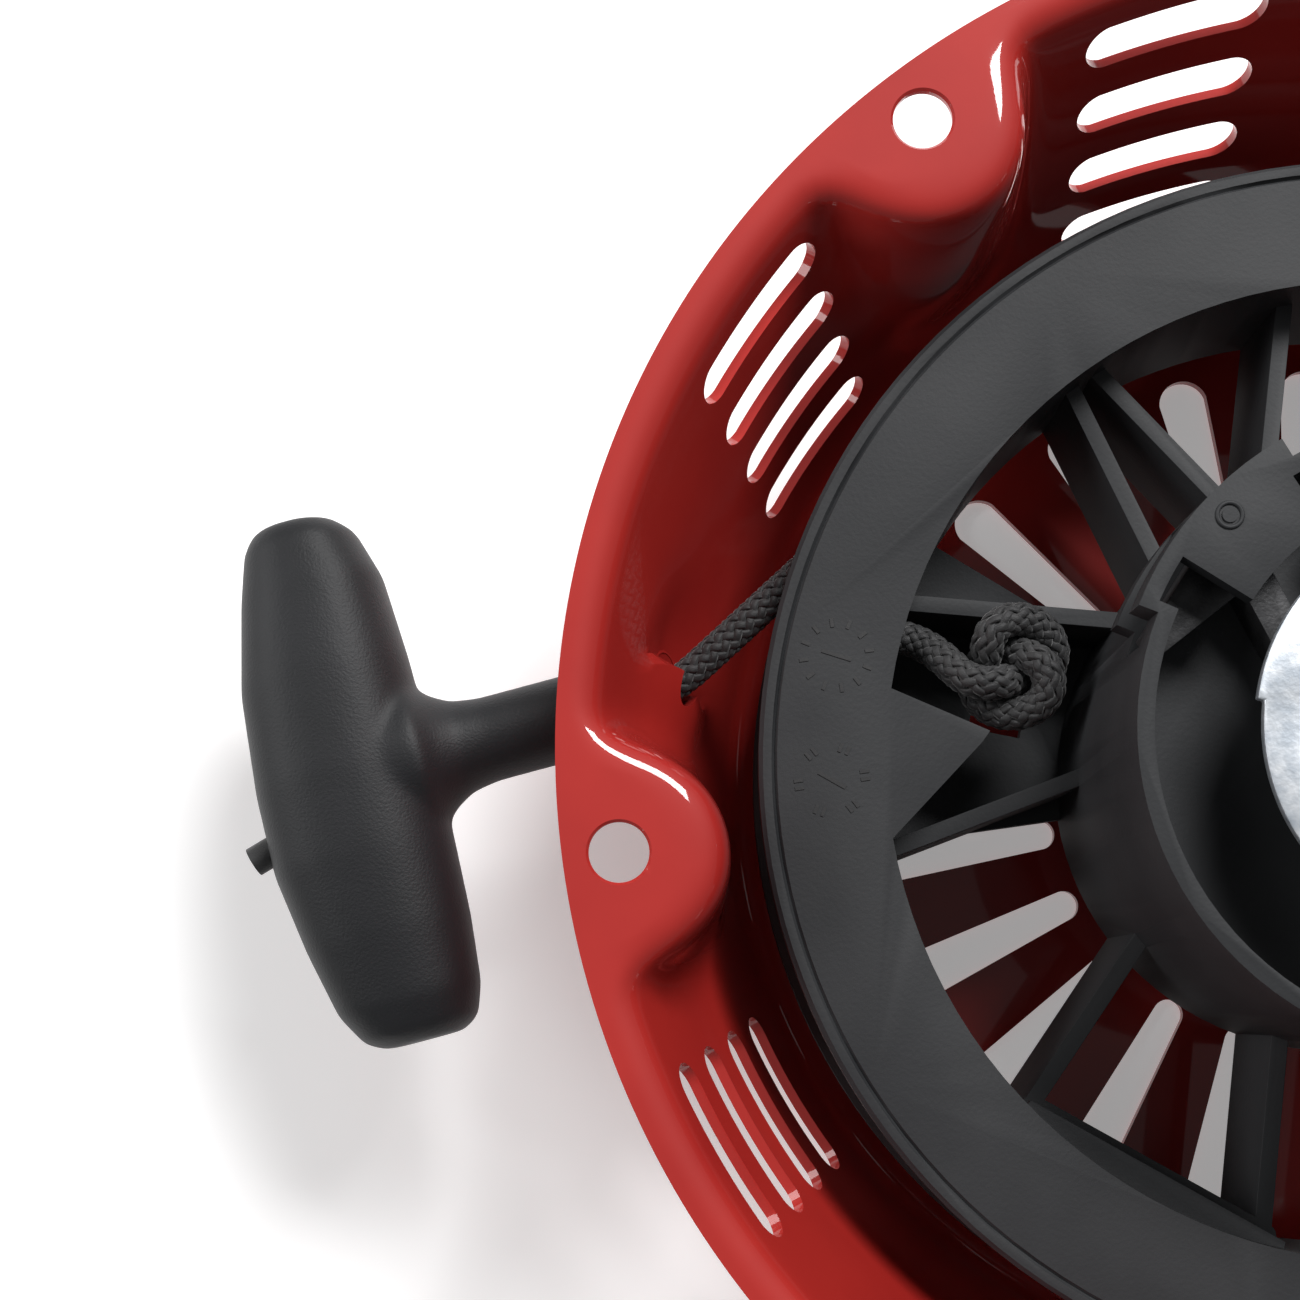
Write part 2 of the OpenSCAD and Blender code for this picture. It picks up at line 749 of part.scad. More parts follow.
module friction_washer() {
    color("peru") ring(spindle_d / 2 + 2, guide_pin_d / 2 + run_clear, guide_z - 1.2 - seat_gap, 1.2);
}

module lock_washer() {
    color("silver") ring(9, screw_r + 0.3, spindle_top_z, 1.4);
}

module centre_screw() {
    head_z = spindle_top_z + 1.4;
    color("silver") {
        translate([0, 0, head_z]) cylinder(h = 1.2, r = 7, $fn = small);
        translate([0, 0, head_z + 1.2]) cylinder(h = 4, r = 5.77, $fn = 6);
        translate([0, 0, spindle_top_z - 15]) cylinder(h = 16.4 + eps, r = screw_r, $fn = small);
    }
}

housing();
spindle();
thrust_washer();
recoil_spring();
spring_cover();
reel();
rope_winding();
reel_knot();
rope_lead();
grip();
grip_washer();
grip_knot();
ratchet_1();
ratchet_2();
ratchet_spring_1();
ratchet_spring_2();
ratchet_guide();
friction_spring();
friction_washer();
lock_washer();
centre_screw();
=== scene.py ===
# %% [markdown]
# # A recoil starter
# A recoil starter is the pull start of a small engine: a pressed steel bell, a rope reel on a
# spindle, and a T-grip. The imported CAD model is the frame. Looks are built around it here, in
# metres, with +Z towards the engine and the grip at -X.

# %% Load the frame
import bpy
import json
import math
import numpy as np
from mathutils import Matrix, Vector


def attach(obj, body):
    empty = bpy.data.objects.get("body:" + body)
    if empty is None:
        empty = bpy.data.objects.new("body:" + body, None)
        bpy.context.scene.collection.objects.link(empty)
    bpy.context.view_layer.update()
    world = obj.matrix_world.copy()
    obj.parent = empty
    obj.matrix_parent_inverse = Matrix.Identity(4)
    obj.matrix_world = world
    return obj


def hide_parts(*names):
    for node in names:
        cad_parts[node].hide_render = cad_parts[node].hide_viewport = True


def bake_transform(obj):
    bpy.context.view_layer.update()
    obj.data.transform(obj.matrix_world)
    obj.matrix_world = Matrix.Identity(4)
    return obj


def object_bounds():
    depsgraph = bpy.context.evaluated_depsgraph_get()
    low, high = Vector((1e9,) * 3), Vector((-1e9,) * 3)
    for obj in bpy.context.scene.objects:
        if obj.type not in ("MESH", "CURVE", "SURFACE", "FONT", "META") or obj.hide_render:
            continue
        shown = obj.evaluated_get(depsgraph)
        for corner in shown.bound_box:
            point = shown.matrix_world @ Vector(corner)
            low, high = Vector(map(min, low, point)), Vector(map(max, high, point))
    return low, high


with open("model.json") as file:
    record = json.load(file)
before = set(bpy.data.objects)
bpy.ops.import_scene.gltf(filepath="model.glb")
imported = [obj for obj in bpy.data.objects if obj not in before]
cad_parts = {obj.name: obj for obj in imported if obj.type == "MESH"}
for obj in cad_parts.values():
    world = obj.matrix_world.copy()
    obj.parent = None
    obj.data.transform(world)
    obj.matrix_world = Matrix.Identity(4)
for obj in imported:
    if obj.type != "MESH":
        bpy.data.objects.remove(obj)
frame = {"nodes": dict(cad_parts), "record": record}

MM = 0.001
cad_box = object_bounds()
print("CAD box:", [round(v, 4) for corner in cad_box for v in corner])

# %% [markdown]
# ## Camera, floor and light
# A starter is usually shown lying on its front, seen from the engine side. The camera looks
# almost straight down the crank axis from a quarter of a metre, so the near rim looks much larger
# than the front. A small shift keeps the lens level while the view is framed on one side.

# %% Camera
bpy.ops.object.select_all(action="DESELECT")
camera_data = bpy.data.cameras.new("camera")
camera_data.lens = 53.07
camera_data.sensor_width = 36
camera_data.shift_x = 0.005
camera_data.shift_y = 0.1525
camera_data.clip_start = 0.01
camera = bpy.data.objects.new("camera", camera_data)
camera.location = (-0.09728, -0.03535, 0.25028)
camera.rotation_euler = [math.radians(a) for a in (4.939, 1.382, 0.015)]
bpy.context.scene.collection.objects.link(camera)
bpy.context.scene.camera = camera
print("camera height over the flange:", camera.location.z)

# %% [markdown]
# The paint is glossy, so what it mirrors matters as much as what lights it. The flat flange mirrors
# the room overhead, so that is kept dim and the red stays deep. Soft boxes stand at the sides, low
# enough that only the curved edges of the bolt pads mirror them as white streaks.

# %% Floor and lights
def soft_box(name, place, target, size, watts):
    light = bpy.data.lights.new(name, "AREA")
    light.shape = "RECTANGLE"
    light.size, light.size_y = size
    light.energy = watts
    lamp = bpy.data.objects.new(name, light)
    lamp.location = place
    lamp.rotation_euler = (Vector(target) - Vector(place)).to_track_quat("-Z", "Y").to_euler()
    bpy.context.scene.collection.objects.link(lamp)
    return lamp


floor_z = cad_box[0].z - 0.0004
bpy.ops.mesh.primitive_plane_add(size=8, location=(0, 0, floor_z))
floor = bpy.context.object
floor.name = "floor"
soft_box("far_box", (0.35, 0.80, 0.95), (-0.05, 0, 0), (0.55, 0.4), 20)
soft_box("left_box", (-1.3, 0.3, 0.8), (-0.05, 0, 0), (0.9, 0.7), 12)

world = bpy.data.worlds.new("studio")
world.use_nodes = True
world.node_tree.nodes["Background"].inputs["Color"].default_value = (1, 1, 1, 1)
world.node_tree.nodes["Background"].inputs["Strength"].default_value = 0.16
bpy.context.scene.world = world
bpy.context.scene.view_settings.view_transform = "Standard"
print("floor at", round(floor_z, 4))

# %% [markdown]
# ## Finishes
# Each finish is a node material on Object coordinates, so its grain has a real size in metres.
# One helper lays down the two things that nearly every finish has: a slight change of colour over
# the surface, and a fine bump.

# %% Material helper
def finish(name, dark, light, patch, grain, bump, **sockets):
    """A finish whose colour drifts between dark and light in patches, with a fine grain as bump."""
    material = bpy.data.materials.new(name)
    material.use_nodes = True
    nodes, links = material.node_tree.nodes, material.node_tree.links
    shader = nodes["Principled BSDF"]
    place = nodes.new("ShaderNodeTexCoord").outputs["Object"]
    drift = nodes.new("ShaderNodeTexNoise")
    drift.inputs["Scale"].default_value = 1 / patch
    drift.inputs["Detail"].default_value = 4
    ramp = nodes.new("ShaderNodeValToRGB")
    ramp.color_ramp.elements[0].position, ramp.color_ramp.elements[1].position = 0.35, 0.65
    ramp.color_ramp.elements[0].color = (*dark, 1)
    ramp.color_ramp.elements[1].color = (*light, 1)
    fine = nodes.new("ShaderNodeTexNoise")
    fine.inputs["Scale"].default_value = 1 / grain
    fine.inputs["Detail"].default_value = 3
    relief = nodes.new("ShaderNodeBump")
    relief.inputs["Strength"].default_value = bump
    relief.inputs["Distance"].default_value = 0.0001
    links.new(place, drift.inputs["Vector"])
    links.new(place, fine.inputs["Vector"])
    links.new(drift.outputs["Fac"], ramp.inputs["Fac"])
    links.new(ramp.outputs["Color"], shader.inputs["Base Color"])
    links.new(fine.outputs["Fac"], relief.inputs["Height"])
    links.new(relief.outputs["Normal"], shader.inputs["Normal"])
    for socket, value in sockets.items():
        shader.inputs[socket.replace("_", " ")].default_value = value
    return material


# %% Floor finish
floor_paint = finish("pale_floor", (0.86, 0.86, 0.86), (0.9, 0.9, 0.9), 0.4, 0.002, 0.05, Roughness=0.7,
                     Emission_Color=(1, 1, 1, 1), Emission_Strength=0.30)
floor.data.materials.append(floor_paint)

# %% [markdown]
# The bell is sprayed with gloss enamel: a saturated red under a clear, hard skin that has a faint
# orange peel. The black pieces are moulded nylon, satin on the reel and finely textured on the
# grip. The guide is zinc plated, which leaves a bright bluish skin with flecks.

# %% Finishes of this starter
red_enamel = finish("red_enamel", (0.36, 0.014, 0.011), (0.42, 0.019, 0.014), 0.03, 0.0016, 0.05,
                    Roughness=0.6, Specular_IOR_Level=0.25, Coat_Weight=1.0, Coat_Roughness=0.05)
reel_nylon = finish("reel_nylon", (0.022, 0.023, 0.025), (0.029, 0.030, 0.032), 0.02, 0.0006, 0.35,
                    Roughness=0.6, Specular_IOR_Level=0.3)
grip_nylon = finish("grip_nylon", (0.009, 0.0095, 0.011), (0.0125, 0.013, 0.015), 0.015, 0.0004, 0.7,
                    Roughness=0.55, Specular_IOR_Level=0.35)
rope_fibre = finish("rope_fibre", (0.007, 0.007, 0.008), (0.018, 0.018, 0.019), 0.004, 0.0002, 0.9,
                    Roughness=0.6, Sheen_Weight=0.2)
zinc_plate = finish("zinc_plate", (0.56, 0.61, 0.67), (0.84, 0.87, 0.91), 0.0022, 0.0007, 0.3,
                    Metallic=1.0, Roughness=0.5)
blued_spring = finish("blued_spring", (0.10, 0.11, 0.14), (0.22, 0.22, 0.25), 0.006, 0.0008, 0.3,
                      Metallic=1.0, Roughness=0.34)
black_phosphate = finish("black_phosphate", (0.03, 0.03, 0.032), (0.06, 0.06, 0.062), 0.004, 0.0005, 0.6,
                         Metallic=0.6, Roughness=0.55)
white_nylon = finish("white_nylon", (0.66, 0.64, 0.56), (0.74, 0.72, 0.65), 0.01, 0.0006, 0.2,
                     Roughness=0.45)
mould_mark = finish("mould_mark", (0.012, 0.012, 0.013), (0.016, 0.016, 0.017), 0.01, 0.0006, 0.3,
                    Roughness=0.6)
bronze = finish("bronze", (0.42, 0.25, 0.10), (0.58, 0.37, 0.17), 0.006, 0.0006, 0.3,
                Metallic=1.0, Roughness=0.32)
FINISHES = {"red_paint": red_enamel, "black_nylon": reel_nylon, "grip_plastic": grip_nylon,
            "rope_braid": rope_fibre, "zinc_steel": zinc_plate, "spring_steel": blued_spring,
            "ratchet_steel": black_phosphate, "white_nylon": white_nylon, "bronze": bronze}
slots = {s["node"]: s["material_slot"] for s in frame["record"]["subparts"]}
for name, node in frame["nodes"].items():
    node.data.materials.clear()
    node.data.materials.append(FINISHES[slots[name]])
print(len(FINISHES), "finishes on", len(slots), "nodes")

# %% [markdown]
# ## Moulded and machined pieces
# A CAD solid has perfectly sharp edges, but a moulded or machined edge is always slightly round,
# and that thin round catches the light. So each piece starts as a copy of its solid, its loose
# triangles are merged back into faces, and every edge gets a small bevel.

# %% Edge rounding helper
def rounded_copy(node, body, width, angle=32, segments=2, soft_edge=None, soft_width=0):
    """A visible copy of a CAD node with its edges rounded, riding on the same body.

    Edges that soft_edge picks, from their two ends, get a wider round first."""
    bpy.ops.object.select_all(action="DESELECT")
    piece = frame["nodes"][node].copy()
    piece.data = piece.data.copy()
    for key in list(piece.keys()):
        del piece[key]
    piece.parent = None
    piece.name = node + "_shape"
    bpy.context.scene.collection.objects.link(piece)
    piece.select_set(True)
    bpy.context.view_layer.objects.active = piece
    bpy.ops.object.mode_set(mode="EDIT")
    bpy.ops.mesh.select_all(action="SELECT")
    bpy.ops.mesh.customdata_custom_splitnormals_clear()
    bpy.ops.mesh.remove_doubles(threshold=0.00001)
    bpy.ops.mesh.dissolve_limited(angle_limit=math.radians(1))
    if soft_edge:
        bpy.ops.mesh.select_mode(type="EDGE")
        bpy.ops.mesh.select_all(action="DESELECT")
        bpy.ops.object.mode_set(mode="OBJECT")
        points = piece.data.vertices
        for edge in piece.data.edges:
            edge.select = soft_edge(*(points[i].co for i in edge.vertices))
        bpy.ops.object.mode_set(mode="EDIT")
        bpy.ops.mesh.bevel(offset=soft_width, segments=3, affect="EDGES", clamp_overlap=True)
        bpy.ops.mesh.select_mode(type="VERT")
    bpy.ops.object.mode_set(mode="OBJECT")
    bevel = piece.modifiers.new("round_edges", "BEVEL")
    bevel.width = width
    bevel.segments = segments
    bevel.limit_method = "ANGLE"
    bevel.angle_limit = math.radians(angle)
    bevel.harden_normals = False
    bpy.ops.object.modifier_apply(modifier=bevel.name)
    bpy.ops.object.shade_smooth_by_angle(angle=math.radians(40))
    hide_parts(node)
    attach(piece, body)
    print(node, len(piece.data.polygons), "faces")
    return piece


# %% Reel, guide and small hardware
SPOKE_TOP, SPOKE_ZONE = -27.0, (42.5, 69.0)


def is_spoke_top(a, b):
    """Whether an edge is one of the two long upper edges of a spoke."""
    level = all(abs(p.z - SPOKE_TOP * MM) < 0.0002 for p in (a, b))
    middle = (a + b) / 2
    return level and (a - b).length > 0.012 and SPOKE_ZONE[0] * MM < middle.xy.length < SPOKE_ZONE[1] * MM


rounded_copy("reel", "reel", 0.00045, soft_edge=is_spoke_top, soft_width=0.0010)
rounded_copy("ratchet_guide", "guide", 0.0003)
rounded_copy("centre_screw", "case", 0.0003)
for ratchet in ("ratchet_1", "ratchet_2"):
    rounded_copy(ratchet, ratchet, 0.0003)

# %% [markdown]
# ## Bell
# The real bell is pressed from one flat sheet in a few strokes. A boolean of a cone and six
# columns would give hard seams, where a press leaves long S-curves. So the bell starts as a spun
# shell, and each ring of points is then pushed in round the bolt pads, as the press does it.

# %% Bell sizes
RIM_R, WALL_TOP_R, LEAN = 115.0, 110.1, math.radians(18.4)
ROLL_R, SHOULDER_R, FRONT_Z, SHEET = 4.5, 9.0, -62.0, 1.5
RECESS_H = 3.2
BOLT_R, PAD_R, BOLT_ANGLE, BOLTS = 107.5, 14.5, 7.6, 6
COLUMNS_PER_PAD = 84
columns = COLUMNS_PER_PAD * BOLTS
roll_depth = ROLL_R * (1 - math.sin(LEAN))
shoulder_top = FRONT_Z + SHOULDER_R * (1 - math.sin(LEAN))


def wall_radius(z):
    return WALL_TOP_R + z * math.tan(LEAN)


roll_out = wall_radius(-roll_depth) + ROLL_R * math.cos(LEAN) - WALL_TOP_R
shoulder_c = wall_radius(shoulder_top) - SHOULDER_R * math.cos(LEAN)
print("roll centre is", round(roll_out, 2), "mm outside the wall line")
print("front is flat to", round(shoulder_c, 1), "mm from the axis")


# %% Outline of the wall at one depth
HALF_SHARE = 180 / BOLTS                                # degrees on each side of a pad
SEARCH_FROM, SEARCH_TO, SEARCH_STEP = 78.0, 116.0, 0.02
OUTLINE_PASSES = 60


def smooth_max(a, b, k):
    h = np.clip(0.5 + 0.5 * (a - b) / k, 0, 1)
    return b + (a - b) * h + k * h * (1 - h)


def outline(wall_r, pad_r, blend=5.0):
    """Points along one pad's share of the wall, evenly spaced, with the pad in the middle."""
    turn = np.radians(np.linspace(-HALF_SHARE, HALF_SHARE, 4001))
    radius = np.full(turn.shape, SEARCH_FROM)
    found = np.zeros(turn.shape, bool)
    result = np.full(turn.shape, wall_r)
    while not found.all() and radius[0] < SEARCH_TO:
        radius = radius + SEARCH_STEP
        away = np.hypot(radius * np.cos(turn) - BOLT_R, radius * np.sin(turn))
        hit = (smooth_max(radius - wall_r, pad_r - away, blend) >= 0) & ~found
        result[hit] = radius[hit]
        found |= hit
    line = np.stack([result * np.cos(turn), result * np.sin(turn)], 1)
    for _ in range(OUTLINE_PASSES):
        line[1:-1] = (line[:-2] + line[1:-1] * 2 + line[2:]) / 4
    run = np.concatenate([[0], np.cumsum(np.hypot(*np.diff(line, axis=0).T))])
    want = np.linspace(0, run[-1], COLUMNS_PER_PAD + 1)
    return np.stack([np.interp(want, run, line[:, i]) for i in (0, 1)], 1)


def outward(line):
    along = np.gradient(line, axis=0)
    normal = np.stack([along[:, 1], -along[:, 0]], 1)
    return normal / np.linalg.norm(normal, axis=1)[:, None]


# %% Rings of the bell, from the rim to the middle of the front
PAD_FADE, FADE_FROM, FADE_RUN = 6, 34, 20       # a pad gets smaller towards the front
edge = outline(WALL_TOP_R, PAD_R)
edge_out = outward(edge)
flat_end = edge + edge_out * roll_out
rim_turn = np.arctan2(flat_end[:, 1], flat_end[:, 0])
rim = RIM_R * np.stack([np.cos(rim_turn), np.sin(rim_turn)], 1)
rings = [(rim + (flat_end - rim) * t, 0.0) for t in np.linspace(0, 1, 9)]
for a in np.linspace(math.pi / 2, math.pi - LEAN, 9)[1:]:
    rings.append((edge + edge_out * (roll_out + ROLL_R * math.cos(a)), -ROLL_R + ROLL_R * math.sin(a)))
column_r = PAD_R - (roll_out + ROLL_R * math.cos(math.pi - LEAN))
for z in np.linspace(-roll_depth, shoulder_top, 30)[1:]:
    fade = np.clip((-z - FADE_FROM) / FADE_RUN, 0, 1)
    rings.append((outline(wall_radius(z), column_r - PAD_FADE * fade * fade * (3 - 2 * fade)), z))
last = rings[-1][0]
last_r = np.linalg.norm(last, axis=1)
even = np.radians(np.linspace(-HALF_SHARE, HALF_SHARE, COLUMNS_PER_PAD + 1))
for a in np.linspace(LEAN, math.pi / 2, 9)[1:]:
    keep = 1 - (a - LEAN) / (math.pi / 2 - LEAN)
    radius = shoulder_c + SHOULDER_R * math.cos(a) + (last_r - wall_radius(shoulder_top)) * keep
    turn = np.arctan2(last[:, 1], last[:, 0]) * keep + even * (1 - keep)
    rings.append((np.stack([radius * np.cos(turn), radius * np.sin(turn)], 1),
                  FRONT_Z + SHOULDER_R * (1 - math.sin(a))))
FRONT_RINGS = [  # radius, height over the front
    (76, 0), (66, 0), (54, 0), (42, 0), (33, 0), (31, 0), (29.6, 0.9), (28.2, RECESS_H - 0.6),
    (26.6, RECESS_H), (18, RECESS_H), (6, RECESS_H)]
for radius, height in FRONT_RINGS:
    rings.append((radius * np.stack([np.cos(even), np.sin(even)], 1), FRONT_Z + height))
print(len(rings), "rings of", columns, "points")

# %% [markdown]
# The shell is spun from a line of points, one for each ring. A spin makes perfect circles, so each
# point is then moved to its place in the pressed outline. Then the grid is smoothed, as pressed
# metal flows round a pad, and a lip is raised in the wall for the rope to pass under.

# %% Spin the shell and press it
SPUN_R = 100.0      # radius of the first ring before pressing; each further ring is one less
line = bpy.data.meshes.new("bell")
line.from_pydata([(SPUN_R - i, 0, 0) for i in range(len(rings))],
                 [(i, i + 1) for i in range(len(rings) - 1)], [])
bell = bpy.data.objects.new("bell", line)
bpy.context.scene.collection.objects.link(bell)
bpy.ops.object.select_all(action="DESELECT")
bell.select_set(True)
bpy.context.view_layer.objects.active = bell
bpy.ops.object.mode_set(mode="EDIT")
bpy.ops.mesh.select_all(action="SELECT")
bpy.ops.mesh.spin(steps=columns, angle=2 * math.pi, center=(0, 0, 0), axis=(0, 0, 1))
bpy.ops.mesh.select_all(action="SELECT")
bpy.ops.mesh.remove_doubles(threshold=0.01)
bpy.ops.object.mode_set(mode="OBJECT")

co = np.array([v.co for v in bell.data.vertices])
ring_of = np.rint(SPUN_R - np.hypot(co[:, 0], co[:, 1])).astype(int)
column_of = np.rint(np.arctan2(co[:, 1], co[:, 0]) / (2 * math.pi) * columns).astype(int) % columns
table = np.array([p for p, _ in rings])
depth = np.array([z for _, z in rings])
pad_of, step = np.arange(columns) // COLUMNS_PER_PAD, np.arange(columns) % COLUMNS_PER_PAD
turn = np.radians(BOLT_ANGLE + pad_of * 360 / BOLTS)
flat = table[:, step]
sheet = np.stack([flat[..., 0] * np.cos(turn) - flat[..., 1] * np.sin(turn),
                  flat[..., 0] * np.sin(turn) + flat[..., 1] * np.cos(turn),
                  np.repeat(depth[:, None], columns, 1)], 2)
print("pressed grid:", sheet.shape)

# %% Let the metal flow round the pads
FLOW_PASSES, FLOW_START, FLOW_END = 16, 7, 44
pad_depth = np.clip((WALL_TOP_R - np.linalg.norm(edge[step], axis=1)) / 12, 0, 1)
flow_ring = np.clip((np.arange(len(rings)) - FLOW_START + 1) / 2, 0, 1)
flow_ring = flow_ring * np.clip((FLOW_END - np.arange(len(rings))) / 8, 0, 1)
flow = (flow_ring[:, None] * (0.12 + 0.88 * pad_depth ** 0.5)[None, :])[..., None]
for _ in range(FLOW_PASSES):
    along = (np.roll(sheet, 1, 1) + np.roll(sheet, -1, 1)) / 2
    down = sheet.copy()
    down[1:-1] = (sheet[:-2] + sheet[2:]) / 2
    sheet = sheet + flow * ((along + down) / 2 - sheet)
print("lowest pad edge at ring", FLOW_START + 1, "z =", round(float(sheet[FLOW_START + 1, :, 2].min()), 2))

# %% Raise the lip that the rope passes under
LIP_ANGLE, LIP_Z, LIP_TILT = 172.25, -29.9, -3.5 / 14.6     # tilt in degrees per millimetre of height
LIP_OUT, LIP_IN, LIP_HEIGHT = 2.2, 3.2, 9.5                 # millimetres
FADE_OUT, FADE_IN = 7.0, 6.0                                # degrees over which the push dies away
radius = np.hypot(sheet[..., 0], sheet[..., 1])
angle = np.degrees(np.arctan2(sheet[..., 1], sheet[..., 0]))
before = (LIP_ANGLE - angle + 180) % 360 - 180
window = np.exp(-((sheet[..., 2] - LIP_Z) / LIP_HEIGHT) ** 2)
push = window * np.where(before > 0, LIP_OUT * np.exp(-(before / FADE_OUT) ** 2),
                         -LIP_IN * np.exp(-(before / FADE_IN) ** 2))
angle = angle + LIP_TILT * (sheet[..., 2] - LIP_Z) * np.exp(-(before / FADE_IN) ** 2) * window
radius = radius + push
sheet[..., 0], sheet[..., 1] = radius * np.cos(np.radians(angle)), radius * np.sin(np.radians(angle))
print("lip: wall moved by", round(float(push.min()), 2), "to", round(float(push.max()), 2), "mm")
pressed = sheet[ring_of, column_of] * MM
bell.data.vertices.foreach_set("co", pressed.ravel())
bell.data.update()
print("bell shell:", len(bell.data.polygons), "faces")

# %% Give the sheet its thickness
bpy.ops.object.mode_set(mode="EDIT")
bpy.ops.mesh.select_all(action="SELECT")
bpy.ops.mesh.normals_make_consistent(inside=False)
bpy.ops.object.mode_set(mode="OBJECT")
rim_face = max(bell.data.polygons, key=lambda p: p.center.z * 1000 + p.center.xy.length)
if rim_face.normal.z < 0:
    bpy.ops.object.mode_set(mode="EDIT")
    bpy.ops.mesh.flip_normals()
    bpy.ops.object.mode_set(mode="OBJECT")
wall = bell.modifiers.new("sheet", "SOLIDIFY")
wall.thickness = SHEET * MM
wall.offset = -1
bpy.ops.object.modifier_apply(modifier=wall.name)
print("bell with thickness:", len(bell.data.polygons), "faces")

# %% [markdown]
# The holes are punched after the shape is pressed. Each punch is a cylinder whose two halves are
# pulled apart into a slot, and one boolean takes all of them out of the sheet.

# %% Punches
punches = []


def punch(length, width, end_width, height):
    """A slot-shaped punch along X, standing on Z, at the origin. Its far end may be wider."""
    bpy.ops.object.select_all(action="DESELECT")
    bpy.ops.mesh.primitive_cylinder_add(vertices=40, radius=width / 2 * MM, depth=height * MM)
    tool = bpy.context.object
    for v in tool.data.vertices:
        far = v.co.x > 1e-7
        if far:
            v.co.x, v.co.y = v.co.x * end_width / width, v.co.y * end_width / width
        v.co.x += ((length - end_width) / 2 if far else -(length - width) / 2) * MM
    punches.append(tool)
    return tool


VENT_ANGLES = (105.7, 145.4, 210.2, 285.7, 325.4, 30.2)
VENT_ROWS, VENT_TOP, VENT_PITCH, VENT_LENGTH, VENT_WIDTH = 4, -9.6, 12, 26.5, 7.2
for angle in VENT_ANGLES:
    for row in range(VENT_ROWS):
        z_mid = VENT_TOP - row * VENT_PITCH
        tool = punch(VENT_LENGTH, VENT_WIDTH, VENT_WIDTH, 16)
        lie = Matrix.Rotation(math.pi / 2 + LEAN, 4, "Y") @ Matrix.Rotation(math.pi / 2, 4, "Z")
        tool.matrix_world = (Matrix.Rotation(math.radians(angle), 4, "Z")
                             @ Matrix.Translation(Vector((wall_radius(z_mid), 0, z_mid)) * MM) @ lie)
FRONT_VENTS, FRONT_TURN, FRONT_NARROW, FRONT_WIDE = 21, 0.3, 4.8, 8.0
vent_in, vent_out = 38.4, shoulder_c - 12
for i in range(FRONT_VENTS):
    tool = punch(vent_out - vent_in, FRONT_NARROW, FRONT_WIDE, 8)
    tool.matrix_world = (Matrix.Rotation(math.radians(FRONT_TURN + i * 360 / FRONT_VENTS), 4, "Z")
                         @ Matrix.Translation(Vector(((vent_in + vent_out) / 2, 0, FRONT_Z - 0.7)) * MM))
print(len(punches), "vent punches")


# %% Bolt hole punches
HOLE_R, BREAK = 4.0, 0.35     # each punch flares at both faces, so the hole's edges are broken
for i in range(BOLTS):
    bpy.ops.object.select_all(action="DESELECT")
    bpy.ops.mesh.primitive_cylinder_add(vertices=72, radius=HOLE_R * MM, depth=(SHEET - 2 * BREAK) * MM)
    tool = bpy.context.object
    for side in (1, -1):
        bpy.ops.object.mode_set(mode="EDIT")
        bpy.ops.mesh.select_mode(type="FACE")
        bpy.ops.mesh.select_all(action="DESELECT")
        bpy.ops.object.mode_set(mode="OBJECT")
        for face in tool.data.polygons:
            face.select = face.normal.z * side > 0.9
        bpy.ops.object.mode_set(mode="EDIT")
        for rise, grow in ((BREAK, (HOLE_R + BREAK) / HOLE_R), (3, (HOLE_R + BREAK + 3) / (HOLE_R + BREAK))):
            bpy.ops.mesh.extrude_region_move(TRANSFORM_OT_translate={"value": (0, 0, side * rise * MM)})
            bpy.ops.transform.resize(value=(grow, grow, 1))
        bpy.ops.object.mode_set(mode="OBJECT")
    tool.matrix_world = (Matrix.Rotation(math.radians(BOLT_ANGLE + i * 360 / BOLTS), 4, "Z")
                         @ Matrix.Translation((BOLT_R * MM, 0, -SHEET / 2 * MM)))
    punches.append(tool)
bpy.context.scene.tool_settings.mesh_select_mode = (True, False, False)     # back to points
print(len(punches), "punches")

# %% Rope outlet punch
OUTLET_ANGLE, OUTLET_Z, PULL_ANGLE, ROPE_D = 173.1, -28.7, 195.0, 5.0
outlet_r = wall_radius(OUTLET_Z)
outlet = Vector((outlet_r * math.cos(math.radians(OUTLET_ANGLE)),
                 outlet_r * math.sin(math.radians(OUTLET_ANGLE)), OUTLET_Z)) * MM
pull = Vector((math.cos(math.radians(PULL_ANGLE)), math.sin(math.radians(PULL_ANGLE)), 0))
OUTLET_D, OUTLET_TURN = 6.6, 212.0      # the hole is drawn along the rope's mean direction
tool = punch(OUTLET_D, OUTLET_D, OUTLET_D, 24)
tool.matrix_world = (Matrix.Translation(outlet) @ Matrix.Rotation(math.radians(OUTLET_TURN), 4, "Z")
                     @ Matrix.Rotation(math.pi / 2, 4, "Y"))
print("the rope leaves", round(outlet_r, 1), "mm from the axis")

# %% Punch the holes
bpy.ops.object.select_all(action="DESELECT")
for tool in punches:
    tool.select_set(True)
bpy.context.view_layer.objects.active = punches[0]
bpy.ops.object.join()
die = bpy.context.object
bpy.ops.object.transform_apply(location=True, rotation=True, scale=True)
bpy.ops.object.select_all(action="DESELECT")
bell.select_set(True)
bpy.context.view_layer.objects.active = bell
cut = bell.modifiers.new("holes", "BOOLEAN")
cut.operation = "DIFFERENCE"
cut.solver = "EXACT"
cut.object = die
bpy.ops.object.modifier_apply(modifier=cut.name)
bpy.data.objects.remove(die)
bpy.ops.object.shade_smooth_by_angle(angle=math.radians(35))
bell.data.materials.clear()
bell.data.materials.append(red_enamel)
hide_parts("housing")
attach(bell, "case")
print("punched bell:", len(bell.data.polygons), "faces")

